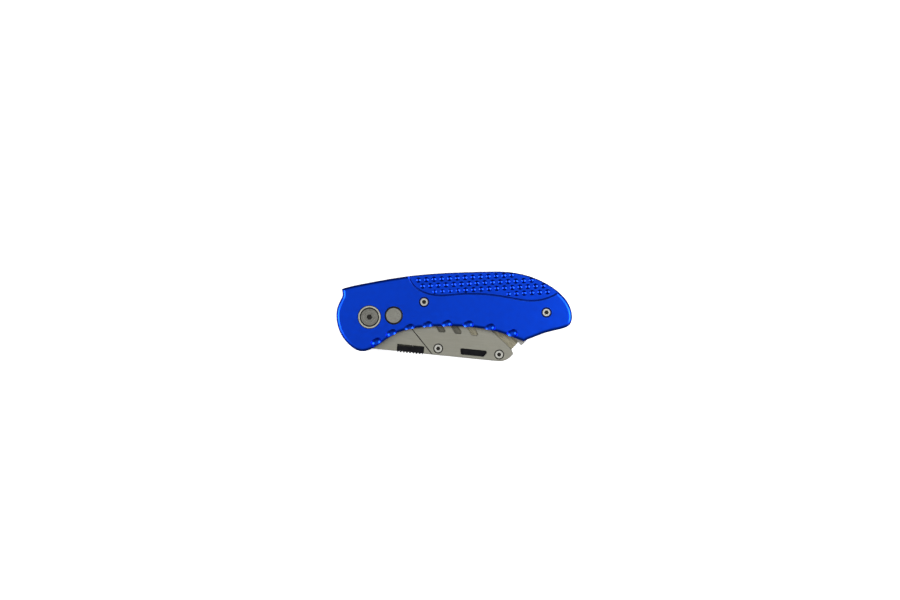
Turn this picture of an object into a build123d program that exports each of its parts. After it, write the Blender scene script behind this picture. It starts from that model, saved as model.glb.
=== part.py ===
from build123d import *

import os
from math import atan2, cos, degrees, radians, sin

# Folding utility knife with a swinging blade carrier, a push-button lock and a blade latch.
# It lies closed on its rear scale: X runs along the handle to the tail, Y points to the grip
# edge and Z comes out of the front scale. The origin is the middle of the outline on the rear
# face. Millimetres. Names ending in _Z are heights, in _T thicknesses and in _R radii.

# ---- driving dimensions -------------------------------------------------------------------

SCALE_T = 4.5
LINER_T = 0.8
WASHER_T = 0.2
CARRIER_T = 4.0

REAR_LINER_Z = SCALE_T
INNER_Z = REAR_LINER_Z + LINER_T
CARRIER_Z = INNER_Z + WASHER_T
CARRIER_TOP_Z = CARRIER_Z + CARRIER_T
INNER_TOP_Z = CARRIER_TOP_Z + WASHER_T
FRONT_SCALE_Z = INNER_TOP_Z + LINER_T
FACE_Z = FRONT_SCALE_Z + SCALE_T
MIDDLE_Z = FACE_Z / 2

PIVOT = (-42.2, -0.2)
BUTTON = (-30.1, 0.6)
HANDLE_SCREWS = [(-15.0, 7.3), (45.9, 2.1)]
OPENING_ANGLE = 170.0

EDGE_ROUND = 1.6
FLUSH_GAP = 0.1
RUNNING_FIT = 0.05

# ---- handle outline -----------------------------------------------------------------------

HORN = (-56.0, 13.8)
LOW_CORNER = (34.6, -12.3)
UPPER_POINTS = [(-42.1, 17.0), (-27.1, 19.6), (-7.1, 21.6), (15.4, 22.42), (28.5, 22.1), (38.2, 19.9),
                (47.9, 15.3), (55.3, 8.9), (58.65, 0.8), (57.6, -3.9), (53.6, -6.0), (45.4, -8.0),
                (39.3, -10.3)]
LOWER_POINTS = [(22.9, -8.0), (2.9, -4.9), (-12.1, -5.0), (-29.6, -8.7), (-39.6, -15.2), (-46.3, -17.25),
                (-52.4, -13.9), (-57.1, -7.2), (-58.65, -0.2), (-57.9, 5.3), (-55.9, 9.6)]

with BuildSketch() as handle_face:
    with BuildLine():
        upper_edge = Spline(HORN, *UPPER_POINTS, LOW_CORNER, tangents=[(1, 0.34), (-0.9, -0.5)])
        lower_edge = Spline(LOW_CORNER, *LOWER_POINTS, HORN, tangents=[(-0.95, 0.33), (-0.25, 1)])
    make_face()


def beside(curve, distance, trim, count):
    """Points on the right of a curve, at a distance from it, with its ends cut back by trim."""
    margin = trim / curve.length
    steps = [margin + (1 - 2 * margin) * index / (count - 1) for index in range(count)]
    return [curve.position_at(step) + curve.tangent_at(step).rotate(Axis.Z, -90) * distance for step in steps]


INSET = 0.8
CORNER_TRIM = 2.2
INSET_POINTS = 32

with BuildSketch() as inner_face:
    with BuildLine():
        inner_upper = Spline(*beside(upper_edge, INSET, CORNER_TRIM, INSET_POINTS))
        inner_lower = Spline(*beside(lower_edge, INSET, CORNER_TRIM, INSET_POINTS))
        Line(inner_upper @ 1, inner_lower @ 0)
        Line(inner_lower @ 1, inner_upper @ 0)
    make_face()

# ---- grip panel: a shallow step behind a groove --------------------------------------------

GRIP_STEP = 0.45
GROOVE_R = 0.5
GROOVE_INSET = 0.3
GROOVE_RISE = 0.15
GRIP_START = (-23.6, 22.5)
GRIP_END = (55.0, 14.6)
GRIP_POINTS = [(-19.2, 14.2), (-10.6, 10.5), (2.9, 10.9), (16.4, 10.7), (26.4, 9.3), (38.6, 7.6),
               (48.4, 9.7)]
ABOVE_HANDLE_Y = 30.0

with BuildSketch() as grip_face:
    with BuildLine():
        grip_edge = Spline(GRIP_START, *GRIP_POINTS, GRIP_END)
        Polyline(GRIP_START, (GRIP_START[0], ABOVE_HANDLE_Y), (GRIP_END[0], ABOVE_HANDLE_Y), GRIP_END)
    make_face()

GROOVE_Z = FACE_Z - GRIP_STEP + GROOVE_RISE
GROOVE_PATH = [Vector(spot.X, spot.Y, GROOVE_Z) for spot in beside(grip_edge, -GROOVE_INSET, 0, INSET_POINTS)]

with BuildPart() as groove:
    with BuildLine():
        groove_line = Spline(*GROOVE_PATH)
    with BuildSketch(Plane(origin=groove_line @ 0, z_dir=groove_line % 0)):
        Circle(GROOVE_R)
    sweep()

# ---- finger scallops along the lower edge --------------------------------------------------

SCALLOPS = [(-38.1, -12.5), (-30.5, -8.3), (-21.6, -5.6), (-12.7, -4.3), (-3.1, -3.7), (7.5, -4.0),
            (18.3, -5.5), (29.4, -8.3)]
SCALLOP_R = 2.4
SCALLOP_RISE = 1.0
SCALLOP_RUN = 1.5
SCALLOP_WAY = (-0.87, -0.49, 0.0)

# ---- pivot, lock and fasteners -------------------------------------------------------------

BUSHING_R = 5.8
BUSHING_RIM_R = 4.85
BUSHING_CHAMFER = 0.3
BUSHING_BODY_R = 4.0
BUSHING_FLANGE_T = 2.2
PIVOT_HEAD_R = 4.45
PIVOT_HEAD_STEP_R = 2.8
PIVOT_HEAD_T = 1.5
BARREL_R = 3.0
PIVOT_THREAD_R = 2.0
PIVOT_SOCKET = 2.6
WASHER_R = 4.3

BUTTON_R = 4.08
BUTTON_HOLE_R = 4.6
BUTTON_LINER_HOLE_R = 4.6
BUTTON_CHAMFER = 0.4
LOCK_TRAVEL = 1.2
LOCK_BITE = 1.0
COLLAR_R = 4.6
COLLAR_T = 2.0
COLLAR_HOLE_R = 4.75
COLLAR_CHAMFER = 0.2
WAIST_R = 1.6
LOCK_BORE_FLOOR_Z = 1.2

HEAD_R = 2.1
HEAD_T = 1.4
HEAD_RECESS_R = 2.6
HEAD_SOCKET = 2.0
HEAD_CHAMFER = 0.3
HEAD_FLOOR_T = 0.4
SHANK_R = 1.0
SLEEVE_NUT_R = 1.6

STOP_R = 1.0
STOP_ORBIT_R = 5.6
STOP_ANGLE = 182.0

# ---- carrier, in its own plane: u along its spine, v from the blade's spine to its edge -----

CARRIER_TILT = -5.8
CARRIER_ORIGIN = (10.35, -16.26)
SPINE_V = -4.8
TOP_V = 20.1
TANG_R = 10.0
HEEL_R = 15.5
HEEL_ANGLE = 205.0

BLADE_T = 0.6
BLADE_SPINE_HALF = 17.0
BLADE_EDGE_HALF = 30.5
BLADE_W = 18.7
BLADE_NOTCH_U = 4.9
BLADE_NOTCH_W = 2.8
BLADE_NOTCH_DEPTH = 1.5
BEVEL_W = 1.6
BEVEL_T = 0.27

COVER_T = 1.2
COVER_Z = CARRIER_TOP_Z - COVER_T
BLADE_Z = COVER_Z - BLADE_T
COVER_GAP = 0.3
PLATE_CHAMFER = 0.2
COVER_SCREWS = [(-18.3, -1.5), (12.3, -1.45)]
COVER_HEAD_R = 2.05
COVER_RECESS_R = 2.5
COVER_HEAD_T = 0.8
COVER_HEAD_CHAMFER = 0.2
COVER_SOCKET = 1.9
COVER_SOCKET_DEPTH = 0.6

LEVER_Z = 6.5
LEVER_T = 1.15
CAVITY_Z = 6.4
SLEEVE_R = 1.4
PAD_U = (-38.4, -25.7)
PAD_LOW_V = -5.25
PAD_TOP_V = (-2.25, -1.7)
PAD_Z = (6.2, 9.25)
PAD_POCKET_Z = 6.0
PAD_TEETH = 8
PAD_GAP = 0.45
TOOTH_DEPTH = 0.6
TOOTH_SHARE = 0.45


def carrier_point(point):
    """A point of the base plane, given in the carrier's own u and v."""
    tilt = radians(-CARRIER_TILT)
    across = point[0] - CARRIER_ORIGIN[0]
    up = point[1] - CARRIER_ORIGIN[1]
    return (across * cos(tilt) - up * sin(tilt), across * sin(tilt) + up * cos(tilt))


def carrier_plane(height):
    """The carrier's plane at a height: its x runs down the spine to the nose."""
    tilt = radians(CARRIER_TILT)
    origin = (*CARRIER_ORIGIN, height)
    return Plane(origin=origin, x_dir=(cos(tilt), sin(tilt), 0), z_dir=(0, 0, 1))


def box_outline(across, up):
    """Draws a rectangle from its ranges along u and v."""
    left, right = across
    low, high = up
    return Polyline((left, low), (right, low), (right, high), (left, high), close=True)


def around(centre, radius, angle):
    """The point at an angle, in degrees, on a circle."""
    return (centre[0] + radius * cos(radians(angle)), centre[1] + radius * sin(radians(angle)))


def finish(built, label):
    """Labels a finished piece and writes its file."""
    built.part.label = label
    export_step(built.part, f"parts/{label}.step")


os.makedirs("parts", exist_ok=True)

PIVOT_UV = carrier_point(PIVOT)
BUTTON_UV = carrier_point(BUTTON)
BUTTON_ORBIT_R = ((BUTTON[0] - PIVOT[0]) ** 2 + (BUTTON[1] - PIVOT[1]) ** 2) ** 0.5
BUTTON_ANGLE_UV = degrees(atan2(BUTTON_UV[1] - PIVOT_UV[1], BUTTON_UV[0] - PIVOT_UV[0]))

MIDDLE_PLANE = Plane.XY.offset(MIDDLE_Z)

# ---- scales: the rear one mirrors the front one's outside ------------------------------------

FACE = Plane.XY.offset(FACE_Z)
SCALLOP_PLANES = [Plane(origin=(x, y, FACE_Z + SCALLOP_RISE), z_dir=SCALLOP_WAY) for x, y in SCALLOPS]
SCALLOP_ENDS = [plane.offset(SCALLOP_RUN) for plane in SCALLOP_PLANES]

with BuildPart() as scale_cuts:
    with BuildSketch(FACE):
        add(grip_face.sketch)
    extrude(amount=-GRIP_STEP)
    with Locations(*SCALLOP_PLANES):
        Sphere(SCALLOP_R)
        Cylinder(SCALLOP_R, SCALLOP_RUN, align=(Align.CENTER, Align.CENTER, Align.MIN))
    with Locations(*SCALLOP_ENDS):
        Sphere(SCALLOP_R)
    with BuildSketch(FACE):
        with Locations(PIVOT):
            Circle(BUSHING_R + FLUSH_GAP)
    extrude(amount=-(BUSHING_FLANGE_T + FLUSH_GAP))
    with BuildSketch(FACE):
        with Locations(PIVOT):
            Circle(BUSHING_BODY_R + RUNNING_FIT)
    extrude(amount=-SCALE_T)
    with BuildSketch(FACE):
        with Locations(*HANDLE_SCREWS):
            Circle(HEAD_RECESS_R)
    extrude(amount=-(HEAD_T + FLUSH_GAP))

with BuildPart() as plain_scale:
    with BuildSketch(Plane.XY.offset(FRONT_SCALE_Z)):
        add(handle_face.sketch)
    extrude(amount=SCALE_T)
    fillet(plain_scale.edges().group_by(Axis.Z)[-1], radius=EDGE_ROUND)
    add(scale_cuts.part, mode=Mode.SUBTRACT)
    add(groove.part, mode=Mode.SUBTRACT)

with BuildPart() as front_scale:
    add(plain_scale.part)
    with BuildSketch(Plane.XY.offset(FRONT_SCALE_Z)):
        with Locations(BUTTON):
            Circle(BUTTON_HOLE_R)
        with Locations(*HANDLE_SCREWS):
            Circle(SHANK_R + FLUSH_GAP)
    extrude(amount=SCALE_T, mode=Mode.SUBTRACT)
finish(front_scale, "front_scale")

with BuildPart() as rear_scale:
    add(mirror(plain_scale.part, about=MIDDLE_PLANE, mode=Mode.PRIVATE))
    with BuildSketch(Plane.XY.offset(LOCK_BORE_FLOOR_Z)):
        with Locations(BUTTON):
            Circle(COLLAR_HOLE_R)
    extrude(amount=SCALE_T, mode=Mode.SUBTRACT)
    with BuildSketch():
        with Locations(*HANDLE_SCREWS):
            Circle(SLEEVE_NUT_R + FLUSH_GAP)
    extrude(amount=SCALE_T, mode=Mode.SUBTRACT)
finish(rear_scale, "rear_scale")

# ---- liners: the scales' outline drawn in a little, with a square corner below --------------

LINER_CORNER = [(27.5, -8.0), (33.6, -14.5), (37.2, -10.6), (36.0, -6.0)]

with BuildSketch() as liner_face:
    add(inner_face.sketch)
    with BuildLine():
        Polyline(*LINER_CORNER, close=True)
    make_face()
    with Locations(PIVOT):
        Circle(BARREL_R + RUNNING_FIT, mode=Mode.SUBTRACT)
    with Locations(around(PIVOT, STOP_ORBIT_R, STOP_ANGLE)):
        Circle(STOP_R + RUNNING_FIT, mode=Mode.SUBTRACT)


def build_liner(height, button_hole_r, screw_hole_r, label):
    """One steel liner: the shared outline with its own lock and screw holes."""
    with BuildPart() as liner:
        with BuildSketch(Plane.XY.offset(height)):
            add(liner_face.sketch)
            with Locations(BUTTON):
                Circle(button_hole_r, mode=Mode.SUBTRACT)
            with Locations(*HANDLE_SCREWS):
                Circle(screw_hole_r, mode=Mode.SUBTRACT)
        extrude(amount=LINER_T)
    finish(liner, label)


build_liner(INNER_TOP_Z, BUTTON_LINER_HOLE_R, SHANK_R + FLUSH_GAP, "front_liner")
build_liner(REAR_LINER_Z, COLLAR_HOLE_R, SLEEVE_NUT_R + FLUSH_GAP, "rear_liner")

# ---- backspacer: closes the grip edge and the tail, with a boss round the tail screw ---------

BOSS_R = 2.7
BOSS_RIB = 9.0
TAIL_SCREW = HANDLE_SCREWS[1]
BACKSPACER_START = (-24.5, 14.2)
BACKSPACER_END = (51.5, -4.4)
BACKSPACER_POINTS = [(-7.0, 15.9), (15.4, 16.6), (29.0, 15.9), (39.0, 12.6), (47.5, 7.4)]
BEYOND_TAIL_X = 65.0

with BuildPart() as backspacer:
    with BuildSketch(Plane.XY.offset(INNER_Z)):
        add(inner_face.sketch)
        with BuildLine():
            Spline(BACKSPACER_START, *BACKSPACER_POINTS, BACKSPACER_END)
            Polyline(
                BACKSPACER_END,
                (BEYOND_TAIL_X, BACKSPACER_END[1]),
                (BEYOND_TAIL_X, ABOVE_HANDLE_Y),
                (BACKSPACER_START[0], ABOVE_HANDLE_Y),
                BACKSPACER_START,
            )
        make_face(mode=Mode.INTERSECT)
        with Locations(TAIL_SCREW):
            Circle(BOSS_R)
            Rectangle(BOSS_RIB, 2 * BOSS_R, align=(Align.MIN, Align.CENTER))
            Circle(SHANK_R + FLUSH_GAP, mode=Mode.SUBTRACT)
    extrude(amount=INNER_TOP_Z - INNER_Z)
finish(backspacer, "backspacer")

# ---- pivot ----------------------------------------------------------------------------------

BUSHING_FACE_Z = FACE_Z - FLUSH_GAP
HEAD_FACE_Z = FACE_Z - 2 * FLUSH_GAP
HEAD_SEAT_Z = HEAD_FACE_Z - PIVOT_HEAD_T
SOCKET_DEPTH = 1.1
HEAD_DISH = 0.35

with BuildPart() as front_bushing:
    with BuildSketch(Plane.XY.offset(BUSHING_FACE_Z)):
        with Locations(PIVOT):
            Circle(BUSHING_R)
    extrude(amount=-BUSHING_FLANGE_T)
    chamfer(front_bushing.edges().group_by(Axis.Z)[-1], length=BUSHING_CHAMFER)
    with BuildSketch(Plane.XY.offset(FRONT_SCALE_Z)):
        with Locations(PIVOT):
            Circle(BUSHING_BODY_R)
    extrude(amount=SCALE_T - FLUSH_GAP - BUSHING_FLANGE_T)
    with BuildSketch(Plane.XY.offset(HEAD_SEAT_Z)):
        with Locations(PIVOT):
            Circle(BUSHING_RIM_R)
    extrude(amount=SCALE_T, mode=Mode.SUBTRACT)
    with BuildSketch(Plane.XY.offset(FRONT_SCALE_Z)):
        with Locations(PIVOT):
            Circle(BARREL_R + RUNNING_FIT)
    extrude(amount=SCALE_T, mode=Mode.SUBTRACT)
finish(front_bushing, "front_bushing")

with BuildPart() as rear_bushing:
    add(mirror(front_bushing.part, about=MIDDLE_PLANE, mode=Mode.PRIVATE))
finish(rear_bushing, "rear_bushing")

with BuildPart() as pivot_head:
    with BuildSketch(Plane.XY.offset(HEAD_SEAT_Z)):
        with Locations(PIVOT):
            Circle(PIVOT_HEAD_R)
    extrude(amount=PIVOT_HEAD_T)
    chamfer(pivot_head.edges().group_by(Axis.Z)[-1], length=HEAD_CHAMFER)
    with BuildSketch(Plane.XY.offset(HEAD_FACE_Z)):
        with Locations(PIVOT):
            Circle(PIVOT_HEAD_STEP_R)
    extrude(amount=-HEAD_DISH, mode=Mode.SUBTRACT)
    with BuildSketch(Plane.XY.offset(HEAD_FACE_Z)):
        with Locations(PIVOT):
            RegularPolygon(radius=PIVOT_SOCKET / 2, side_count=6, major_radius=False)
    extrude(amount=-SOCKET_DEPTH, mode=Mode.SUBTRACT)

with BuildPart() as pivot_screw:
    add(pivot_head.part)
    with BuildSketch(Plane.XY.offset(REAR_LINER_Z)):
        with Locations(PIVOT):
            Circle(PIVOT_THREAD_R)
    extrude(amount=HEAD_SEAT_Z - REAR_LINER_Z)
finish(pivot_screw, "pivot_screw")

with BuildPart() as pivot_barrel:
    add(mirror(pivot_head.part, about=MIDDLE_PLANE, mode=Mode.PRIVATE))
    with BuildSketch(Plane.XY.offset(FACE_Z - HEAD_SEAT_Z)):
        with Locations(PIVOT):
            Circle(BARREL_R)
    extrude(amount=2 * HEAD_SEAT_Z - FACE_Z - FLUSH_GAP)
    with BuildSketch(Plane.XY.offset(REAR_LINER_Z - FLUSH_GAP)):
        with Locations(PIVOT):
            Circle(PIVOT_THREAD_R + RUNNING_FIT)
    extrude(amount=FACE_Z, mode=Mode.SUBTRACT)
finish(pivot_barrel, "pivot_barrel")


def build_washer(height, label):
    """A thin bearing washer between the carrier's tang and a liner."""
    with BuildPart() as washer:
        with BuildSketch(Plane.XY.offset(height)):
            with Locations(PIVOT):
                Circle(WASHER_R)
                Circle(BARREL_R + RUNNING_FIT, mode=Mode.SUBTRACT)
        extrude(amount=WASHER_T)
    finish(washer, label)


build_washer(INNER_Z, "rear_washer")
build_washer(CARRIER_TOP_Z, "front_washer")

with BuildPart() as stop_pin:
    with BuildSketch(Plane.XY.offset(REAR_LINER_Z)):
        with Locations(around(PIVOT, STOP_ORBIT_R, STOP_ANGLE)):
            Circle(STOP_R)
    extrude(amount=FRONT_SCALE_Z - REAR_LINER_Z)
finish(stop_pin, "stop_pin")

# ---- handle fasteners -----------------------------------------------------------------------

with BuildPart() as handle_screws:
    with BuildSketch(Plane.XY.offset(FACE_Z - FLUSH_GAP)):
        with Locations(*HANDLE_SCREWS):
            Circle(HEAD_R)
    extrude(amount=-HEAD_T)
    chamfer(handle_screws.edges().group_by(Axis.Z)[-1], length=HEAD_CHAMFER)
    with BuildSketch(Plane.XY.offset(HEAD_T + 2 * FLUSH_GAP)):
        with Locations(*HANDLE_SCREWS):
            Circle(SHANK_R)
    extrude(amount=FACE_Z - 2 * HEAD_T - 2 * FLUSH_GAP)
    with BuildSketch(Plane.XY.offset(FACE_Z - FLUSH_GAP)):
        with Locations(*HANDLE_SCREWS):
            RegularPolygon(radius=HEAD_SOCKET / 2, side_count=6, major_radius=False)
    extrude(amount=HEAD_FLOOR_T - HEAD_T, mode=Mode.SUBTRACT)
finish(handle_screws, "handle_screws")

with BuildPart() as sleeve_nuts:
    with BuildSketch(Plane.XY.offset(FLUSH_GAP)):
        with Locations(*HANDLE_SCREWS):
            Circle(HEAD_R)
    extrude(amount=HEAD_T)
    chamfer(sleeve_nuts.edges().group_by(Axis.Z)[0], length=HEAD_CHAMFER)
    with BuildSketch(Plane.XY.offset(FLUSH_GAP)):
        with Locations(*HANDLE_SCREWS):
            Circle(SLEEVE_NUT_R)
    extrude(amount=INNER_Z - 2 * FLUSH_GAP)
    with BuildSketch(Plane.XY.offset(HEAD_T)):
        with Locations(*HANDLE_SCREWS):
            Circle(SHANK_R + RUNNING_FIT)
    extrude(amount=INNER_Z, mode=Mode.SUBTRACT)
    with BuildSketch(Plane.XY.offset(FLUSH_GAP)):
        with Locations(*HANDLE_SCREWS):
            RegularPolygon(radius=HEAD_SOCKET / 2, side_count=6, major_radius=False)
    extrude(amount=HEAD_T - HEAD_FLOOR_T, mode=Mode.SUBTRACT)
finish(sleeve_nuts, "sleeve_nuts")

# ---- push-button lock: drawn pressed in, with the collar just under the carrier's tang -------

COLLAR_TOP_Z = CARRIER_Z + LOCK_BITE - LOCK_TRAVEL
BUTTON_UNDERSIDE_Z = INNER_TOP_Z + FLUSH_GAP
BUTTON_TENON_R = 1.2
BUTTON_TENON = 3.0

with BuildPart() as lock_button:
    with BuildSketch(Plane.XY.offset(BUTTON_UNDERSIDE_Z)):
        with Locations(BUTTON):
            Circle(BUTTON_R)
    extrude(amount=FACE_Z - BUTTON_UNDERSIDE_Z)
    chamfer(lock_button.edges().group_by(Axis.Z)[-1], length=BUTTON_CHAMFER)
    with BuildSketch(Plane.XY.offset(BUTTON_UNDERSIDE_Z)):
        with Locations(BUTTON):
            Circle(BUTTON_TENON_R + RUNNING_FIT)
    extrude(amount=BUTTON_TENON + FLUSH_GAP, mode=Mode.SUBTRACT)
finish(lock_button, "lock_button")

with BuildPart() as lock_plunger:
    with BuildSketch(Plane.XY.offset(COLLAR_TOP_Z - COLLAR_T)):
        with Locations(BUTTON):
            Circle(COLLAR_R)
    extrude(amount=COLLAR_T)
    chamfer(lock_plunger.edges().group_by(Axis.Z)[-1], length=COLLAR_CHAMFER)
    with BuildSketch(Plane.XY.offset(COLLAR_TOP_Z)):
        with Locations(BUTTON):
            Circle(WAIST_R)
    extrude(amount=BUTTON_UNDERSIDE_Z - COLLAR_TOP_Z)
    with BuildSketch(Plane.XY.offset(BUTTON_UNDERSIDE_Z)):
        with Locations(BUTTON):
            Circle(BUTTON_TENON_R)
    extrude(amount=BUTTON_TENON)
finish(lock_plunger, "lock_plunger")

LOCK_SPRING_R = 3.2
LOCK_WIRE_R = 0.25
LOCK_SPRING_TURNS = 2.5
LOCK_SPRING_Z = LOCK_BORE_FLOOR_Z + LOCK_WIRE_R + RUNNING_FIT
LOCK_SPRING_H = COLLAR_TOP_Z - COLLAR_T - LOCK_BORE_FLOOR_Z - 2 * (LOCK_WIRE_R + RUNNING_FIT)

with BuildPart() as lock_spring:
    with BuildLine():
        coil = Helix(
            pitch=LOCK_SPRING_H / LOCK_SPRING_TURNS,
            height=LOCK_SPRING_H,
            radius=LOCK_SPRING_R,
            center=(*BUTTON, LOCK_SPRING_Z),
        )
    with BuildSketch(Plane(origin=coil @ 0, z_dir=coil % 0)):
        Circle(LOCK_WIRE_R)
    sweep()
finish(lock_spring, "lock_spring")

# ---- carrier frame --------------------------------------------------------------------------

NOSE_START = (11.6, SPINE_V)
NOSE_MIDDLE = (15.9, -3.8)
NOSE_TIP = (19.25, -0.35)
FRONT_FOOT = (18.04, 1.99)
FRONT_TOP = (-5.55, TOP_V)
REAR_TOP = (-31.8, TOP_V)
BAY_TOP = (-35.6, 15.6)
BAY_SIDE = (-37.2, 11.4)
NECK = (-43.5, 6.5)
JOINT_LOW = (-19.8, -5.8)
JOINT_TURN = (-32.2, 6.83)
COVER_LIMIT = (35.0, 25.0)
RELIEF_R = 1.7
ORBIT_GAP = 0.15

HEEL_START = around(PIVOT_UV, HEEL_R, HEEL_ANGLE)
HEEL_MIDDLE = around(PIVOT_UV, HEEL_R, (HEEL_ANGLE + 270.0) / 2)
HEEL_END = around(PIVOT_UV, HEEL_R, 270.0)
OPEN_NOTCH = around(PIVOT_UV, BUTTON_ORBIT_R, BUTTON_ANGLE_UV + OPENING_ANGLE)

with BuildSketch() as carrier_face:
    with BuildLine():
        ThreePointArc(HEEL_START, HEEL_MIDDLE, HEEL_END)
        Line(HEEL_END, NOSE_START)
        ThreePointArc(NOSE_START, NOSE_MIDDLE, NOSE_TIP)
        Polyline(NOSE_TIP, FRONT_FOOT, FRONT_TOP, REAR_TOP, BAY_TOP, BAY_SIDE, NECK, PIVOT_UV, HEEL_START)
    make_face()
    with Locations(PIVOT_UV):
        Circle(TANG_R)
    with Locations(BUTTON_UV, OPEN_NOTCH):
        Circle(COLLAR_R + ORBIT_GAP, mode=Mode.SUBTRACT)
    with Locations(carrier_point(HANDLE_SCREWS[0])):
        Circle(RELIEF_R, mode=Mode.SUBTRACT)

with BuildSketch() as cover_reach:
    with BuildLine():
        Polyline(
            JOINT_LOW,
            JOINT_TURN,
            (JOINT_TURN[0], COVER_LIMIT[1]),
            COVER_LIMIT,
            (COVER_LIMIT[0], JOINT_LOW[1]),
            close=True,
        )
    make_face()

with BuildSketch() as blade_face:
    with BuildLine():
        Polyline(
            (-BLADE_SPINE_HALF, 0),
            (BLADE_SPINE_HALF, 0),
            (BLADE_EDGE_HALF, BLADE_W),
            (-BLADE_EDGE_HALF, BLADE_W),
            close=True,
        )
    make_face()

with BuildSketch() as blade_pocket_face:
    with BuildLine():
        Polyline(
            (-BLADE_SPINE_HALF, 0),
            (BLADE_EDGE_HALF, 0),
            (BLADE_EDGE_HALF, BLADE_W),
            (-BLADE_EDGE_HALF, BLADE_W),
            close=True,
        )
    make_face()
    offset(amount=RUNNING_FIT, mode=Mode.REPLACE)

CAVITY_OUTLINE = [(-25.3, -4.25), (7.3, -4.25), (7.3, 1.5), (2.6, 1.5), (2.6, 0.3), (-14.5, 0.3),
                  (-16.0, 1.3), (-20.6, 1.3), (-25.3, 0.6)]
PAD_CEILING_V = -1.2
BELOW_SPINE_V = SPINE_V - 2.0
SPRING_BORE_R = 1.3
SPRING_BORE_V = 3.0
SPRING_U = -32.0
THREAD_R = 0.95


def spring_plane(v):
    """A plane across the latch spring's bore, at a height above the blade's spine."""
    centre = carrier_plane(MIDDLE_Z).from_local_coords(Vector(SPRING_U, v, 0))
    return Plane(origin=centre, x_dir=(0, 0, 1), z_dir=carrier_plane(0).y_dir)


with BuildPart() as carrier_frame:
    with BuildSketch(carrier_plane(CARRIER_Z)):
        add(carrier_face.sketch)
    extrude(amount=CARRIER_T)
    chamfer(carrier_frame.edges().group_by(Axis.Z)[-1], length=PLATE_CHAMFER)
    with BuildSketch(carrier_plane(COVER_Z)):
        add(cover_reach.sketch)
        offset(amount=COVER_GAP, mode=Mode.REPLACE)
    extrude(amount=COVER_T, mode=Mode.SUBTRACT)
    with BuildSketch(carrier_plane(BLADE_Z)):
        add(blade_pocket_face.sketch)
    extrude(amount=BLADE_T, mode=Mode.SUBTRACT)
    with BuildSketch(carrier_plane(CAVITY_Z)):
        with BuildLine():
            Polyline(*CAVITY_OUTLINE, close=True)
        make_face()
    extrude(amount=COVER_Z - CAVITY_Z, mode=Mode.SUBTRACT)
    with BuildSketch(carrier_plane(PAD_POCKET_Z)):
        with BuildLine():
            box_outline((PAD_U[0] - PAD_GAP, PAD_U[1] + PAD_GAP), (BELOW_SPINE_V, PAD_CEILING_V))
        make_face()
    extrude(amount=CARRIER_T, mode=Mode.SUBTRACT)
    with BuildSketch(carrier_plane(CARRIER_Z)):
        with BuildLine():
            slot_path = CenterArc(
                PIVOT_UV, STOP_ORBIT_R, STOP_ANGLE - CARRIER_TILT, OPENING_ANGLE, mode=Mode.PRIVATE
            )
        SlotArc(slot_path, height=2 * (STOP_R + FLUSH_GAP))
        with Locations(PIVOT_UV):
            Circle(BARREL_R + RUNNING_FIT)
        with Locations(*COVER_SCREWS):
            Circle(THREAD_R)
    extrude(amount=CARRIER_T, mode=Mode.SUBTRACT)
    with BuildSketch(spring_plane(PAD_CEILING_V - FLUSH_GAP)):
        Circle(SPRING_BORE_R)
    extrude(amount=SPRING_BORE_V + FLUSH_GAP - PAD_CEILING_V, mode=Mode.SUBTRACT)
finish(carrier_frame, "carrier_frame")

# ---- carrier cover: three slanted slots that show the blade, and the latch window ------------

SLOT_U = [-16.9, -8.85, -0.55]
SLOT_BASE_V = 6.9
SLOT_TOP_V = 14.5
SLOT_W = 3.7
SLOT_LEAN = -0.71
SLOT_ROUND = 0.7
WINDOW = [(-6.7, -3.2), (4.7, -3.2), (6.6, -0.35), (-7.3, -0.35)]

with BuildPart() as carrier_cover:
    with BuildSketch(carrier_plane(COVER_Z)) as cover_sketch:
        add(carrier_face.sketch)
        add(cover_reach.sketch, mode=Mode.INTERSECT)
        for slot_u in SLOT_U:
            lean = SLOT_LEAN * (SLOT_TOP_V - SLOT_BASE_V)
            with BuildLine():
                Polyline(
                    (slot_u - SLOT_W / 2, SLOT_BASE_V),
                    (slot_u + SLOT_W / 2, SLOT_BASE_V),
                    (slot_u + SLOT_W / 2 + lean, SLOT_TOP_V),
                    (slot_u - SLOT_W / 2 + lean, SLOT_TOP_V),
                    close=True,
                )
            make_face(mode=Mode.SUBTRACT)
        with BuildLine():
            Polyline(*WINDOW, close=True)
        make_face(mode=Mode.SUBTRACT)
        fillet(cover_sketch.face().inner_wires().vertices(), radius=SLOT_ROUND)
        with Locations(*COVER_SCREWS):
            Circle(SHANK_R + RUNNING_FIT, mode=Mode.SUBTRACT)
    extrude(amount=COVER_T)
    chamfer(carrier_cover.edges().group_by(Axis.Z)[-1], length=PLATE_CHAMFER)
    with BuildSketch(carrier_plane(CARRIER_TOP_Z)):
        with Locations(*COVER_SCREWS):
            Circle(COVER_RECESS_R)
    extrude(amount=-COVER_HEAD_T, mode=Mode.SUBTRACT)
finish(carrier_cover, "carrier_cover")

with BuildPart() as cover_screws:
    with BuildSketch(carrier_plane(CARRIER_TOP_Z - COVER_HEAD_T)):
        with Locations(*COVER_SCREWS):
            Circle(COVER_HEAD_R)
    extrude(amount=COVER_HEAD_T - RUNNING_FIT)
    chamfer(cover_screws.edges().group_by(Axis.Z)[-1], length=COVER_HEAD_CHAMFER)
    with BuildSketch(carrier_plane(CARRIER_Z + FLUSH_GAP)):
        with Locations(*COVER_SCREWS):
            Circle(THREAD_R)
    extrude(amount=CARRIER_T - COVER_HEAD_T - FLUSH_GAP)
    with BuildSketch(carrier_plane(CARRIER_TOP_Z)):
        with Locations(*COVER_SCREWS):
            RegularPolygon(radius=COVER_SOCKET / 2, side_count=6, major_radius=False)
    extrude(amount=-COVER_SOCKET_DEPTH, mode=Mode.SUBTRACT)
finish(cover_screws, "cover_screws")

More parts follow.
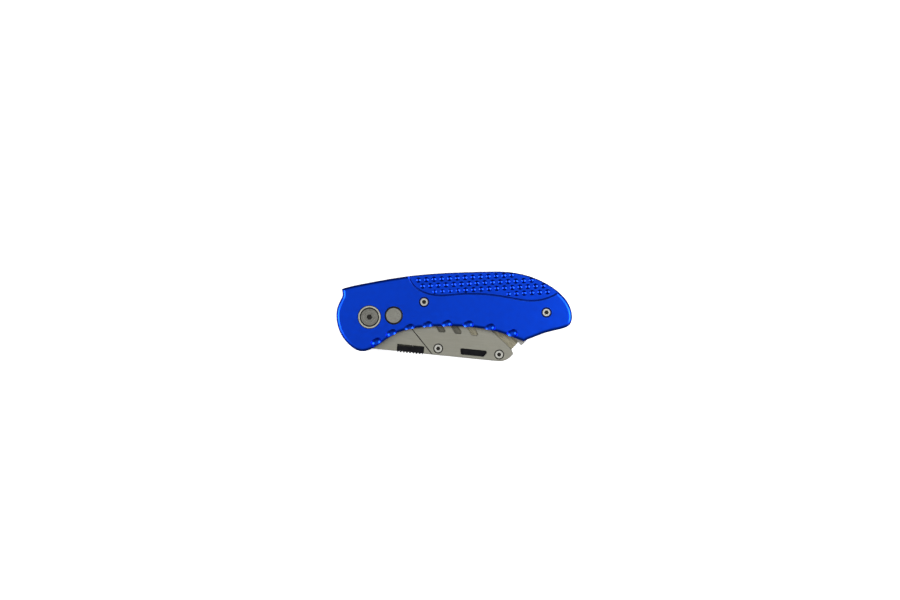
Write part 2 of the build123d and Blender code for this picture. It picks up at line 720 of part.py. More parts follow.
with BuildPart() as blade:
    with BuildSketch(carrier_plane(BLADE_Z)):
        add(blade_face.sketch)
        with Locations((-BLADE_NOTCH_U, 0), (BLADE_NOTCH_U, 0)):
            Rectangle(BLADE_NOTCH_W, 2 * BLADE_NOTCH_DEPTH, mode=Mode.SUBTRACT)
    extrude(amount=BLADE_T)
    edge_face = blade.faces().sort_by(Axis.Y)[-1]
    edge_top = edge_face.edges().sort_by(Axis.Z)
    chamfer([edge_top[0], edge_top[-1]], length=BEVEL_T, length2=BEVEL_W, reference=edge_face)
finish(blade, "blade")

# ---- blade latch: lever on a sleeve round the first cover screw -------------------------------

LEVER_OUTLINE = [(-26.5, -4.0), (-21.0, -3.6), (-16.0, -3.6), (-11.0, -2.6), (6.2, -2.6), (6.2, -0.3),
                 (-15.0, -0.3), (-17.0, 0.5), (-20.0, 0.5), (-24.6, -1.9), (-26.5, -2.4)]
LUG_U = (3.8, 6.0)
LUG_V = (-1.0, 0.85)
NOSE_BLOCK_U = (-7.0, 6.2)
NOSE_BLOCK_V = (-3.0, -0.3)

with BuildPart() as blade_latch:
    with BuildSketch(carrier_plane(LEVER_Z)):
        with BuildLine():
            Polyline(*LEVER_OUTLINE, close=True)
        make_face()
        with Locations(COVER_SCREWS[0]):
            Circle(SLEEVE_R + RUNNING_FIT, mode=Mode.SUBTRACT)
    extrude(amount=LEVER_T)
    with BuildSketch(carrier_plane(LEVER_Z)):
        with BuildLine():
            box_outline(NOSE_BLOCK_U, NOSE_BLOCK_V)
        make_face()
        with BuildLine():
            box_outline(LUG_U, LUG_V)
        make_face()
    extrude(amount=COVER_Z - FLUSH_GAP - LEVER_Z)
    with BuildSketch(carrier_plane(PAD_Z[0])):
        with BuildLine():
            Polyline(
                (PAD_U[0], PAD_LOW_V),
                (PAD_U[1], PAD_LOW_V),
                (PAD_U[1], PAD_TOP_V[1]),
                (PAD_U[0], PAD_TOP_V[0]),
                close=True,
            )
        make_face()
        pitch = (PAD_U[1] - PAD_U[0]) / PAD_TEETH
        with Locations(*[(PAD_U[0] + pitch * (step + 0.5), PAD_LOW_V) for step in range(PAD_TEETH)]):
            Rectangle(pitch * TOOTH_SHARE, 2 * TOOTH_DEPTH, mode=Mode.SUBTRACT)
    extrude(amount=PAD_Z[1] - PAD_Z[0])
finish(blade_latch, "blade_latch")

with BuildPart() as latch_sleeve:
    with BuildSketch(carrier_plane(CAVITY_Z)):
        with Locations(COVER_SCREWS[0]):
            Circle(SLEEVE_R)
            Circle(SHANK_R, mode=Mode.SUBTRACT)
    extrude(amount=BLADE_Z - RUNNING_FIT - CAVITY_Z)
finish(latch_sleeve, "latch_sleeve")

LATCH_SPRING_R = 0.95
LATCH_WIRE_R = 0.18
LATCH_SPRING_TURNS = 6
LATCH_SPRING_LOW_V = PAD_TOP_V[1] + LATCH_WIRE_R
LATCH_SPRING_H = SPRING_BORE_V - LATCH_WIRE_R - RUNNING_FIT - LATCH_SPRING_LOW_V

with BuildPart() as latch_spring:
    with BuildLine():
        latch_coil = Helix(
            pitch=LATCH_SPRING_H / LATCH_SPRING_TURNS,
            height=LATCH_SPRING_H,
            radius=LATCH_SPRING_R,
            center=spring_plane(LATCH_SPRING_LOW_V).origin,
            direction=carrier_plane(0).y_dir,
        )
    with BuildSketch(Plane(origin=latch_coil @ 0, z_dir=latch_coil % 0)):
        Circle(LATCH_WIRE_R)
    sweep()
finish(latch_spring, "latch_spring")
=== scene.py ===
import math

import bmesh
import bpy
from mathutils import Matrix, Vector


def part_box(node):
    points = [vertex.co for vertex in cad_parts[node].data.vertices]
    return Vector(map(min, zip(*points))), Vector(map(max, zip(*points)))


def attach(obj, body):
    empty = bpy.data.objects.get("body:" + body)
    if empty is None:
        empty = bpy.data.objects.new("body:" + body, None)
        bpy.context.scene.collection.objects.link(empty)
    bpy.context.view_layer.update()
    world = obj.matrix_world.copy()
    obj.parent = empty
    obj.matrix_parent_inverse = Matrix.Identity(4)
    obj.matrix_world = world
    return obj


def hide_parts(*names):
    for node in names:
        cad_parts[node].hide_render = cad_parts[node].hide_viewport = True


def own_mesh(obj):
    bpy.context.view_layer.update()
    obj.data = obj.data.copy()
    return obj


# Folding utility knife, lying closed on its rear scale. Metres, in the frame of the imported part:
# X runs along the handle to the tail, Y points to the grip edge and Z comes out of the front.

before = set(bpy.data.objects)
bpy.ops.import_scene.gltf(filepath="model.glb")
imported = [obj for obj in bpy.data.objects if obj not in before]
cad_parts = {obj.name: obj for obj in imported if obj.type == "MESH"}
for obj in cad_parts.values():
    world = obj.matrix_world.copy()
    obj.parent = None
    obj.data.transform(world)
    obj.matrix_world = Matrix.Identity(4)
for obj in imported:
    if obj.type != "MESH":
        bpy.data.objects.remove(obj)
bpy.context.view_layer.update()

MM = 0.001

# ---- where things are, from the frame -------------------------------------------------------

FLOOR_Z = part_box("rear_scale")[0].z
FACE_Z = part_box("front_scale")[1].z


def centre_of(node):
    """The middle of a CAD node's box, in metres."""
    low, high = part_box(node)
    return (low + high) / 2


PIVOT = centre_of("pivot_screw")
# The carrier's spine slopes down to the tail by this much while the knife is shut.
CARRIER_TILT = math.radians(-5.8)

# ---- camera and light -----------------------------------------------------------------------

VIEW_CENTRE = Vector((-2.1, 8.3, 7.5)) * MM
VIEW_WIDTH = 0.45
CAMERA_HEIGHT = 1.5
SENSOR_WIDTH = 36.0


def add_camera():
    """Looks straight down, with the handle's length across the picture."""
    data = bpy.data.cameras.new("camera")
    data.sensor_width = SENSOR_WIDTH
    data.lens = SENSOR_WIDTH * CAMERA_HEIGHT / VIEW_WIDTH
    camera = bpy.data.objects.new("camera", data)
    camera.location = VIEW_CENTRE + Vector((0, 0, CAMERA_HEIGHT))
    bpy.context.scene.collection.objects.link(camera)
    bpy.context.scene.camera = camera


SOFTBOX_DISTANCE = 0.75
SOFTBOX_ANGLE = math.radians(42)
SOFTBOX_SIZE = (0.30, 0.36)
SOFTBOX_POWER = {-1: 4.6, 1: 5.4}
TOP_PANEL_PLACE = Vector((0.32, 0.20, 0.80))
TOP_PANEL_SIZE = 0.25
TOP_PANEL_POWER = 1.6


def add_softbox(name, side):
    """One rectangular light beside the knife, facing it; side is -1 on the left, 1 on the right."""
    data = bpy.data.lights.new(name, "AREA")
    data.shape = "RECTANGLE"
    data.size, data.size_y = SOFTBOX_SIZE
    data.energy = SOFTBOX_POWER[side]
    lamp = bpy.data.objects.new(name, data)
    lamp.location = Vector((side * math.sin(SOFTBOX_ANGLE), 0, math.cos(SOFTBOX_ANGLE))) * SOFTBOX_DISTANCE
    lamp.rotation_euler = (0, side * SOFTBOX_ANGLE, 0)
    bpy.context.scene.collection.objects.link(lamp)


def add_top_panel():
    """A small square light above the tail end, which makes that end a little brighter."""
    data = bpy.data.lights.new("top_panel", "AREA")
    data.size = TOP_PANEL_SIZE
    data.energy = TOP_PANEL_POWER
    lamp = bpy.data.objects.new("top_panel", data)
    lamp.location = TOP_PANEL_PLACE
    lamp.rotation_euler = TOP_PANEL_PLACE.to_track_quat("Z", "Y").to_euler()
    bpy.context.scene.collection.objects.link(lamp)


SKY_LOW = 0.10
SKY_TOP = 0.34
SKY_SIDES = 0.36
# How far a direction leans on Z or X, as a share of 1, where each glow begins and where it is full.
SKY_TOP_SPAN = (0.55, 0.95)
SKY_SIDES_SPAN = (0.35, 0.85)


def add_sky():
    """The walls of the light tent: pale overhead and at both sides, dim in front and behind."""
    world = bpy.data.worlds.new("light_tent")
    world.use_nodes = True
    tree = world.node_tree
    direction = tree.nodes.new("ShaderNodeSeparateXYZ")
    tree.links.new(tree.nodes.new("ShaderNodeTexCoord").outputs["Generated"], direction.inputs[0])

    def ramp(source, span, high):
        node = tree.nodes.new("ShaderNodeMapRange")
        node.interpolation_type = "SMOOTHSTEP"
        tree.links.new(source, node.inputs["Value"])
        node.inputs["From Min"].default_value, node.inputs["From Max"].default_value = span
        node.inputs["To Max"].default_value = high
        return node.outputs["Result"]

    def maths(operation, first, second):
        node = tree.nodes.new("ShaderNodeMath")
        node.operation = operation
        for socket, source in zip(node.inputs, (first, second)):
            if isinstance(source, bpy.types.NodeSocket):
                tree.links.new(source, socket)
            else:
                socket.default_value = source
        return node.outputs[0]

    overhead = ramp(direction.outputs["Z"], SKY_TOP_SPAN, SKY_TOP)
    sides = ramp(maths("ABSOLUTE", direction.outputs["X"], 0.0), SKY_SIDES_SPAN, SKY_SIDES)
    strength = maths("ADD", maths("ADD", overhead, sides), SKY_LOW)
    tree.links.new(strength, tree.nodes["Background"].inputs["Strength"])
    tree.nodes["Background"].inputs["Color"].default_value = (1.0, 1.0, 1.0, 1.0)
    bpy.context.scene.world = world


# ---- materials ------------------------------------------------------------------------------


# A wave texture of scale 1 has its rings this far apart.
WAVE_SPACING = 0.314
# How far a painted zone takes to fade at its edge, in height and across.
LEVEL_FADE = 0.05 * MM
RADIUS_FADE = 0.08 * MM
# Faces whose bevelled and real normals match better than FLAT_MATCH count as flat, and those that
# match worse than EDGE_MATCH as a full edge.
FLAT_MATCH = 0.99
EDGE_MATCH = 1.0 - 1.0 / 6.0
# Open sky seen by a crevice, from fully shaded to not shaded.
CREVICE_SKY = (0.45, 0.92)


class Surface:
    """A Principled material, built up from patterns in the object's own coordinates in metres."""

    def __init__(self, name, metallic=0.0, coat=0.0, coat_roughness=0.1):
        self.material = bpy.data.materials.new(name)
        self.material.use_nodes = True
        self.tree = self.material.node_tree
        self.shader = self.tree.nodes["Principled BSDF"]
        self.shader.inputs["Metallic"].default_value = metallic
        self.shader.inputs["Coat Weight"].default_value = coat
        self.shader.inputs["Coat Roughness"].default_value = coat_roughness
        self.place = self.add("ShaderNodeTexCoord").outputs["Object"]
        self.normal = None

    def add(self, kind, **settings):
        node = self.tree.nodes.new(kind)
        for setting, value in settings.items():
            setattr(node, setting, value)
        return node

    def feed(self, target, source):
        """Wires a socket to an input, or sets a plain value on it."""
        if isinstance(source, bpy.types.NodeSocket):
            self.tree.links.new(source, target)
        else:
            target.default_value = source

    def placed(self, centre=(0, 0, 0), angle=0.0, stretch=(1, 1, 1)):
        """Coordinates measured from a centre, turned about Z, then stretched along each axis."""
        moved = self.add("ShaderNodeVectorMath", operation="SUBTRACT")
        self.feed(moved.inputs[0], self.place)
        moved.inputs[1].default_value = centre
        turned = self.add("ShaderNodeVectorRotate", rotation_type="Z_AXIS")
        self.feed(turned.inputs["Vector"], moved.outputs[0])
        turned.inputs["Angle"].default_value = -angle
        scaled = self.add("ShaderNodeVectorMath", operation="MULTIPLY")
        self.feed(scaled.inputs[0], turned.outputs[0])
        scaled.inputs[1].default_value = stretch
        return scaled.outputs[0]

    def noise(self, size, detail=2.0, place=None):
        """Soft random spots about this size across, from 0 to 1."""
        node = self.add("ShaderNodeTexNoise")
        self.feed(node.inputs["Vector"], place or self.place)
        node.inputs["Scale"].default_value = 1.0 / size
        node.inputs["Detail"].default_value = detail
        return node.outputs["Fac"]

    def rings(self, centre, pitch, uneven=0.6):
        """Turning marks: rings about a vertical axis, this far apart."""
        node = self.add("ShaderNodeTexWave", wave_type="RINGS", rings_direction="Z")
        self.feed(node.inputs["Vector"], self.placed(centre))
        node.inputs["Scale"].default_value = WAVE_SPACING / pitch
        node.inputs["Distortion"].default_value = uneven
        node.inputs["Detail"].default_value = 1.0
        return node.outputs["Fac"]

    def spread(self, source, low, high, from_low=0.3, from_high=0.7):
        """Maps a pattern to a range of numbers."""
        node = self.add("ShaderNodeMapRange")
        self.feed(node.inputs["Value"], source)
        node.inputs["From Min"].default_value = from_low
        node.inputs["From Max"].default_value = from_high
        node.inputs["To Min"].default_value = low
        node.inputs["To Max"].default_value = high
        return node.outputs["Result"]

    def times(self, first, second):
        node = self.add("ShaderNodeMath", operation="MULTIPLY", use_clamp=True)
        self.feed(node.inputs[0], first)
        self.feed(node.inputs[1], second)
        return node.outputs[0]

    def mix(self, factor, low, high):
        """A colour between two others."""
        node = self.add("ShaderNodeMix", data_type="RGBA")
        self.feed(node.inputs["Factor"], factor)
        for socket, colour in ((node.inputs[6], low), (node.inputs[7], high)):
            self.feed(socket, colour if isinstance(colour, bpy.types.NodeSocket) else (*colour, 1.0))
        return node.outputs[2]

    def mottled(self, size, low, high):
        """A colour that drifts between two others in soft spots of this size."""
        return self.mix(self.spread(self.noise(size), 0, 1), low, high)

    def rubbed(self, colour, radius, spot_size, share, bare):
        """Shows a bare colour on edges, in spots that take from one to another share of it."""
        spots = self.spread(self.noise(spot_size), *share)
        return self.mix(self.times(self.edges(radius), spots), colour, bare)

    def edges(self, radius):
        """1 on edges within this radius, 0 on flat and gently curved faces."""
        bevel = self.add("ShaderNodeBevel", samples=4)
        bevel.inputs["Radius"].default_value = radius
        geometry = self.add("ShaderNodeNewGeometry")
        match = self.add("ShaderNodeVectorMath", operation="DOT_PRODUCT")
        self.feed(match.inputs[0], bevel.outputs["Normal"])
        self.feed(match.inputs[1], geometry.outputs["Normal"])
        return self.spread(match.outputs["Value"], 1.0, 0.0, from_low=EDGE_MATCH, from_high=FLAT_MATCH)

    def crevice_shade_mask(self, reach):
        """1 deep in grooves and corners narrower than this reach, 0 on open faces: the mask for painted
        shade.
        """
        node = self.add("ShaderNodeAmbientOcclusion", samples=6)
        node.inputs["Distance"].default_value = reach
        shaded, clear = CREVICE_SKY
        return self.spread(node.outputs["AO"], 1.0, 0.0, from_low=shaded, from_high=clear)

    def bump(self, height, depth):
        """Adds relief of this depth in metres to what is already there."""
        node = self.add("ShaderNodeBump")
        node.inputs["Strength"].default_value = 1.0
        node.inputs["Distance"].default_value = depth
        self.feed(node.inputs["Height"], height)
        if self.normal:
            self.feed(node.inputs["Normal"], self.normal)
        self.normal = node.outputs["Normal"]

    def pocket(self, level, deeper):
        """1 past a level along Z; deeper is -1 for sockets that open upwards, 1 for downwards."""
        height = self.add("ShaderNodeSeparateXYZ")
        self.feed(height.inputs[0], self.place)
        full = level + deeper * LEVEL_FADE
        return self.spread(height.outputs["Z"], 0.0, 1.0, from_low=level, from_high=full)

    def near_axis(self, centre, radius, level):
        """1 within a radius of a vertical axis and below a level, with a soft edge."""
        apart = self.add("ShaderNodeVectorMath", operation="DISTANCE")
        flat = self.placed(centre, stretch=(1, 1, 0))
        self.feed(apart.inputs[0], flat)
        clear = radius + RADIUS_FADE
        inside = self.spread(apart.outputs["Value"], 1.0, 0.0, from_low=radius, from_high=clear)
        return self.times(inside, self.pocket(level, -1))

    def finish(self, colour, roughness):
        self.feed(self.shader.inputs["Base Color"], colour)
        self.feed(self.shader.inputs["Roughness"], roughness)
        if self.normal:
            self.feed(self.shader.inputs["Normal"], self.normal)
        return self.material


BLUE_SHADE = (0.0, 0.006, 0.11)
CREVICE_REACH = 1.2 * MM
PLATE_SHADE = (0.035, 0.034, 0.028)
SCREW_RECESS_R = 2.62 * MM
COVER_RECESS_R = 2.52 * MM
# Recesses are shaded from this far below the face round them.
SHADE_BELOW = 0.3 * MM


def screw_places(node):
    """The axes of the two screws that lie at the two ends of a node, from its vertices."""
    spots = [vertex.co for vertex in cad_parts[node].data.vertices]
    middle = centre_of(node).x
    places = []
    for group in ([s for s in spots if s.x < middle], [s for s in spots if s.x >= middle]):
        xs = [s.x for s in group]
        ys = [s.y for s in group]
        places.append(((min(xs) + max(xs)) / 2, (min(ys) + max(ys)) / 2, 0.0))
    return places


def paint_recess_shade(surface, colour, node, radius, shade, level):
    """Paints shade into the recess round each screw of a node."""
    for place in screw_places(node):
        colour = surface.mix(surface.near_axis(place, radius, level), colour, shade)
    return colour


def anodised_blue():
    """Bead-blasted aluminium, dyed blue: a satin grain, with the dye rubbed thin on the edges."""
    surface = Surface("anodised_blue", metallic=1.0, coat=0.12, coat_roughness=0.3)
    grain = surface.noise(0.09 * MM, detail=3.0)
    surface.bump(grain, 0.006 * MM)
    dye = surface.mottled(60 * MM, (0.0, 0.046, 0.62), (0.0, 0.056, 0.70))
    dye = surface.rubbed(dye, 0.22 * MM, 0.8 * MM, (0.1, 0.6), (0.05, 0.22, 0.95))
    # Painted shade in the recess round each handle screw.
    dye = paint_recess_shade(surface, dye, "handle_screws", SCREW_RECESS_R, BLUE_SHADE, FACE_Z - SHADE_BELOW)
    # Painted shade in grooves and corners, from ambient occlusion.
    dye = surface.mix(surface.crevice_shade_mask(CREVICE_REACH), dye, BLUE_SHADE)
    return surface.finish(dye, surface.spread(surface.noise(2.2 * MM, detail=4.0), 0.29, 0.33))


def shaded_dome_blue():
    """The domes: the same dye over metal polished by the hand, so glossier, in a darker copy of the blue
    that paints shade on them.
    """
    surface = Surface("shaded_dome_blue", metallic=1.0, coat=0.10, coat_roughness=0.12)
    surface.bump(surface.noise(0.12 * MM, detail=3.0), 0.003 * MM)
    # Painted shade: a darker blue than on the flat faces.
    dye = surface.mottled(0.9 * MM, (0.0, 0.022, 0.40), (0.0, 0.030, 0.48))
    return surface.finish(dye, surface.spread(surface.noise(0.5 * MM), 0.17, 0.23))


def blasted_steel():
    """Stainless plate with a bead-blasted face and faint lines of the grinding under it."""
    surface = Surface("blasted_steel", metallic=1.0)
    grain = surface.noise(0.12 * MM, detail=3.0)
    lines = surface.noise(1.0, place=surface.placed(angle=CARRIER_TILT, stretch=(160, 6000, 160)))
    surface.bump(grain, 0.010 * MM)
    surface.bump(lines, 0.004 * MM)
    steel = surface.mix(surface.spread(lines, 0, 1), (0.195, 0.193, 0.162), (0.235, 0.232, 0.198))
    steel = surface.mix(surface.spread(surface.noise(6 * MM), 0, 0.5), steel, (0.215, 0.208, 0.170))
    steel = surface.rubbed(steel, 0.15 * MM, 0.6 * MM, (0.2, 0.9), (0.46, 0.455, 0.41))
    cover_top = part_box("carrier_cover")[1].z
    # Painted shade in the recess round each cover screw.
    steel = paint_recess_shade(surface, steel, "cover_screws", COVER_RECESS_R, PLATE_SHADE, cover_top - SHADE_BELOW)
    # Painted shade in grooves and corners, from ambient occlusion.
    steel = surface.mix(surface.crevice_shade_mask(CREVICE_REACH), steel, PLATE_SHADE)
    return surface.finish(steel, surface.spread(grain, 0.36, 0.50))


# The grinding streaks on the blade lie at this angle to the carrier's spine.
BLADE_GRIND = math.radians(-37.5)
# Along X, where the blade's warmer, lighter tint begins and where it is full.
WARM_TINT_SPAN = (2 * MM, 6 * MM)


def ground_steel():
    """Blade steel with grinding streaks: darker and greyer at low X, warmer and lighter towards high X."""
    surface = Surface("ground_steel", metallic=1.0)
    across = surface.placed(angle=CARRIER_TILT + BLADE_GRIND, stretch=(220, 5200, 220))
    streaks = surface.noise(1.0, detail=3.0, place=across)
    surface.bump(streaks, 0.006 * MM)
    dull = surface.mix(surface.spread(streaks, 0, 1), (0.10, 0.098, 0.080), (0.16, 0.155, 0.128))
    warm = surface.mix(surface.spread(streaks, 0, 1), (0.24, 0.222, 0.155), (0.40, 0.372, 0.275))
    along = surface.add("ShaderNodeSeparateXYZ")
    surface.feed(along.inputs[0], surface.place)
    grey_end, warm_end = WARM_TINT_SPAN
    warm_share = surface.spread(along.outputs["X"], 0.0, 1.0, from_low=grey_end, from_high=warm_end)
    steel = surface.mix(warm_share, dull, warm)
    return surface.finish(steel, surface.spread(streaks, 0.24, 0.38))


def liner_steel():
    """Sheet steel liners and springs: rolled, fairly bright, fine lines along the knife."""
    surface = Surface("liner_steel", metallic=1.0)
    rolled = surface.noise(1.0, detail=3.0, place=surface.placed(stretch=(300, 9000, 300)))
    surface.bump(rolled, 0.003 * MM)
    steel = surface.mix(surface.spread(rolled, 0, 1), (0.33, 0.325, 0.30), (0.44, 0.43, 0.40))
    return surface.finish(steel, surface.spread(surface.noise(1.5 * MM), 0.22, 0.34))


# The colour of the painted shade in driver sockets and wells.
PAINTED_SOCKET_SHADE = (0.035, 0.034, 0.030)
SOCKET_LIP = 0.1 * MM
HEAD_CHAMFER = 0.3 * MM
PIVOT_DISH = 0.4 * MM
# Inside this radius the front bushing gets painted shade below its top.
BUSHING_RIM_R = 4.9 * MM
TURNING_PITCH = 0.2 * MM
# How bright each turned piece is beside the plain turned ones.
PIVOT_TONE = 0.75
BUSHING_TONE = 1.9


def socket_shade(surface, steel, node, lip, upwards=True):
    """Paints shade into a driver socket below its lip, where its depth keeps it dark."""
    low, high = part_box(node)
    level = high.z - lip if upwards else low.z + lip
    return surface.mix(surface.pocket(level, -1 if upwards else 1), steel, PAINTED_SOCKET_SHADE)


def turned_steel(node, lip=None, upwards=True, tone=1.0, well=None):
    """A lathe-turned piece: fine rings about its axis, rubbed edges, and painted shade in its socket or well
    if it has one.
    """
    surface = Surface("turned_steel_" + node, metallic=1.0)
    marks = surface.rings(centre_of(node), TURNING_PITCH)
    surface.bump(marks, 0.004 * MM)
    surface.bump(surface.noise(0.1 * MM), 0.004 * MM)
    low = [tone * share for share in (0.26, 0.26, 0.23)]
    high = [tone * share for share in (0.34, 0.335, 0.295)]
    steel = surface.mix(surface.spread(marks, 0, 1), low, high)
    steel = surface.rubbed(steel, 0.12 * MM, 0.5 * MM, (0.3, 1.0), (0.82, 0.81, 0.76))
    if lip:
        steel = socket_shade(surface, steel, node, lip, upwards)
    if well:
        # Painted shade in the well, inside the given radius and below the top.
        ring = surface.near_axis(centre_of(node), well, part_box(node)[1].z - SHADE_BELOW)
        steel = surface.mix(ring, steel, PAINTED_SOCKET_SHADE)
    return surface.finish(steel, surface.spread(surface.noise(0.9 * MM), 0.27, 0.33))


def screw_steel(node, upwards=True):
    """Machine screws: plated, with a light film of scratches, and painted shade in the driver socket."""
    surface = Surface("plated_" + node, metallic=1.0)
    scratches = surface.noise(0.15 * MM, detail=4.0)
    surface.bump(scratches, 0.006 * MM)
    steel = surface.mottled(0.9 * MM, (0.66, 0.66, 0.60), (0.80, 0.795, 0.73))
    steel = surface.rubbed(steel, 0.12 * MM, 0.5 * MM, (0.3, 1.0), (0.85, 0.84, 0.79))
    steel = socket_shade(surface, steel, node, SOCKET_LIP + HEAD_CHAMFER, upwards)
    return surface.finish(steel, surface.spread(scratches, 0.22, 0.32))


def moulded_black():
    """Black nylon with the fine spark-eroded grain of its mould and shiny rubbed edges."""
    surface = Surface("moulded_black")
    grain = surface.noise(0.22 * MM, detail=3.0)
    surface.bump(grain, 0.02 * MM)
    black = surface.mottled(3 * MM, (0.002, 0.002, 0.003), (0.005, 0.005, 0.006))
    black = surface.rubbed(black, 0.2 * MM, 0.5 * MM, (0.2, 0.8), (0.02, 0.02, 0.023))
    surface.shader.inputs["Specular IOR Level"].default_value = 0.08
    return surface.finish(black, surface.spread(grain, 0.30, 0.40))


def washer_bronze():
    """Phosphor bronze sheet washers, slightly tarnished."""
    surface = Surface("washer_bronze", metallic=1.0)
    marks = surface.rings(PIVOT, TURNING_PITCH)
    surface.bump(marks, 0.003 * MM)
    bronze = surface.mottled(1.2 * MM, (0.50, 0.27, 0.10), (0.66, 0.40, 0.17))
    return surface.finish(bronze, surface.spread(surface.noise(0.8 * MM), 0.28, 0.42))


def spring_wire():
    """Drawn spring steel wire."""
    surface = Surface("spring_wire", metallic=1.0)
    drawn = surface.noise(0.2 * MM, detail=3.0)
    surface.bump(drawn, 0.005 * MM)
    wire = surface.mix(surface.spread(drawn, 0, 1), (0.30, 0.29, 0.28), (0.46, 0.45, 0.43))
    return surface.finish(wire, surface.spread(drawn, 0.26, 0.40))


PAPER_GLOW = 0.35


def paper_floor():
    """White paper on a light table, which lifts the shadows."""
    surface = Surface("studio_paper")
    fibres = surface.noise(0.4 * MM, detail=3.0)
    surface.bump(fibres, 0.02 * MM)
    paper = surface.mottled(200 * MM, (0.90, 0.90, 0.90), (0.94, 0.94, 0.94))
    surface.shader.inputs["Emission Color"].default_value = (1.0, 1.0, 1.0, 1.0)
    surface.shader.inputs["Emission Strength"].default_value = PAPER_GLOW
    return surface.finish(paper, surface.spread(fibres, 0.85, 0.95))


def dress_nodes():
    """Gives every CAD node its material."""
    blue = anodised_blue()
    blasted = blasted_steel()
    black = moulded_black()
    bronze = washer_bronze()
    wire = spring_wire()
    liner = liner_steel()
    pivot_lip = PIVOT_DISH + SOCKET_LIP
    finishes = {
        "front_scale": blue, "rear_scale": blue,
        "front_liner": liner, "rear_liner": liner,
        "backspacer": black, "blade_latch": black,
        "carrier_frame": blasted, "carrier_cover": blasted, "latch_sleeve": blasted,
        "blade": ground_steel(),
        "handle_screws": screw_steel("handle_screws"),
        "cover_screws": screw_steel("cover_screws"),
        "sleeve_nuts": screw_steel("sleeve_nuts", upwards=False),
        "pivot_screw": turned_steel("pivot_screw", pivot_lip, tone=PIVOT_TONE),
        "pivot_barrel": turned_steel("pivot_barrel", pivot_lip, upwards=False, tone=PIVOT_TONE),
        "front_bushing": turned_steel("front_bushing", tone=BUSHING_TONE, well=BUSHING_RIM_R),
        "rear_bushing": turned_steel("rear_bushing", tone=BUSHING_TONE),
        "front_washer": bronze, "rear_washer": bronze,
        "lock_spring": wire, "latch_spring": wire,
    }
    for name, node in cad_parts.items():
        material = finishes.get(name) or turned_steel(name)
        node.data.materials.clear()
        node.data.materials.append(material)


# ---- the latch spring, copied onto the carrier -----------------------------------------------


def add_latch_coil():
    """A copy of the CAD spring, attached to the carrier, with the CAD spring hidden."""
    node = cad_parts["latch_spring"]
    coil = bpy.data.objects.new("latch_spring_coil", node.data.copy())
    bpy.context.scene.collection.objects.link(coil)
    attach(coil, "carrier")
    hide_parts("latch_spring")
    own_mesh(coil)


# ---- the raised domes of the grip -----------------------------------------------------------

GRIP_RECESS = 0.45 * MM
DOME_R = 1.33 * MM
DOME_RISE = 0.43 * MM
DOME_SIDES = 32
DOME_RINGS = 8

DOME_START = Vector((-17.8, 18.2)) * MM
DOME_ANGLE = math.radians(3.1)
DOME_PITCH = 3.87 * MM
DOME_ROW_GAP = 3.1 * MM
# For each row: how many places it starts along, how many domes, and how many of them are shallow.
DOME_ROWS = [(0, 13, 0), (0, 15, 0), (2, 15, 4), (11, 6, 1)]
SHALLOW = 0.62
DOME_ROOT = 0.5 * MM


def dome_places():
    """The middle of each dome and its share of the full rise: a staggered grid, a little tilted."""
    along = Vector((math.cos(DOME_ANGLE), math.sin(DOME_ANGLE)))
    down = Vector((math.sin(DOME_ANGLE), -math.cos(DOME_ANGLE)))
    for row, (first, count, shallow) in enumerate(DOME_ROWS):
        stagger = 0.5 * (row % 2)
        for index in range(count):
            place = DOME_START + along * DOME_PITCH * (first + index + stagger) + down * DOME_ROW_GAP * row
            yield place, SHALLOW if index < shallow else 1.0


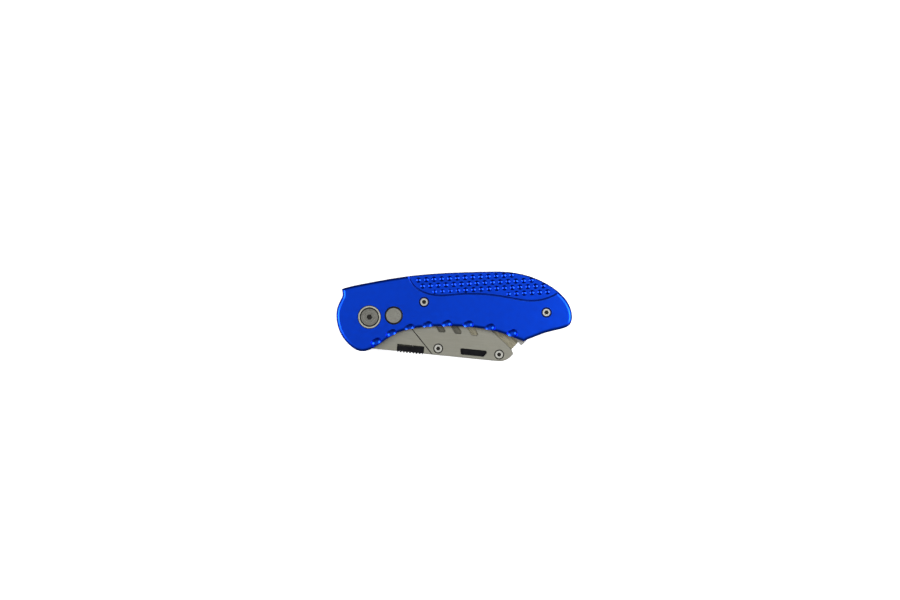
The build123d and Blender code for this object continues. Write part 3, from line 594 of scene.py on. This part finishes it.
def add_dome(mesh, place, base_z, outward, share):
    """A spherical cap rooted in the grip panel; outward is 1 on the front and -1 on the rear."""
    sphere_r = (DOME_R ** 2 + DOME_RISE ** 2) / (2 * DOME_RISE)
    rise = DOME_RISE * share
    half_angle = math.acos((sphere_r - rise) / sphere_r)
    top = mesh.verts.new((place.x, place.y, base_z + outward * rise))
    previous = None
    for ring in range(1, DOME_RINGS + 1):
        lean = half_angle * ring / DOME_RINGS
        radius = sphere_r * math.sin(lean)
        z = base_z + outward * (rise - sphere_r * (1 - math.cos(lean)))
        spots = [2 * math.pi * side / DOME_SIDES for side in range(DOME_SIDES)]
        loop = [mesh.verts.new((place.x + radius * math.cos(a), place.y + radius * math.sin(a), z))
                for a in spots]
        for side in range(DOME_SIDES):
            after = (side + 1) % DOME_SIDES
            if previous:
                mesh.faces.new((previous[side], loop[side], loop[after], previous[after]))
            else:
                mesh.faces.new((top, loop[side], loop[after]))
        previous = loop
    root = [mesh.verts.new((v.co.x, v.co.y, base_z - outward * DOME_ROOT)) for v in previous]
    for side in range(DOME_SIDES):
        after = (side + 1) % DOME_SIDES
        mesh.faces.new((previous[side], root[side], root[after], previous[after]))
    mesh.faces.new(list(reversed(root)))


def add_grip_domes(name, base_z, outward, material):
    """The whole field of domes on one side of the handle."""
    mesh = bmesh.new()
    for place, share in dome_places():
        add_dome(mesh, place, base_z, outward, share)
    bmesh.ops.recalc_face_normals(mesh, faces=mesh.faces)
    for face in mesh.faces:
        face.smooth = len(face.verts) <= 4
    data = bpy.data.meshes.new(name)
    mesh.to_mesh(data)
    mesh.free()
    data.materials.append(material)
    domes = bpy.data.objects.new(name, data)
    bpy.context.scene.collection.objects.link(domes)
    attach(domes, "handle")


# ---- floor ----------------------------------------------------------------------------------

FLOOR_HALF = 1.6


def add_floor():
    """A flat sheet of paper under the knife."""
    mesh = bmesh.new()
    bmesh.ops.create_grid(mesh, x_segments=8, y_segments=8, size=FLOOR_HALF)
    for vertex in mesh.verts:
        vertex.co.z = FLOOR_Z
    data = bpy.data.meshes.new("floor")
    mesh.to_mesh(data)
    mesh.free()
    data.materials.append(paper_floor())
    floor = bpy.data.objects.new("floor", data)
    bpy.context.scene.collection.objects.link(floor)
    floor.visible_glossy = False


# ---- make the scene -------------------------------------------------------------------------

bpy.context.scene.view_settings.view_transform = "Standard"
add_camera()
add_softbox("softbox_left", -1)
add_softbox("softbox_right", 1)
add_top_panel()
add_sky()
add_floor()
dress_nodes()
add_latch_coil()
shaded_dome_finish = shaded_dome_blue()
add_grip_domes("front_grip_domes", FACE_Z - GRIP_RECESS, 1, shaded_dome_finish)
add_grip_domes("rear_grip_domes", FLOOR_Z + GRIP_RECESS, -1, shaded_dome_finish)
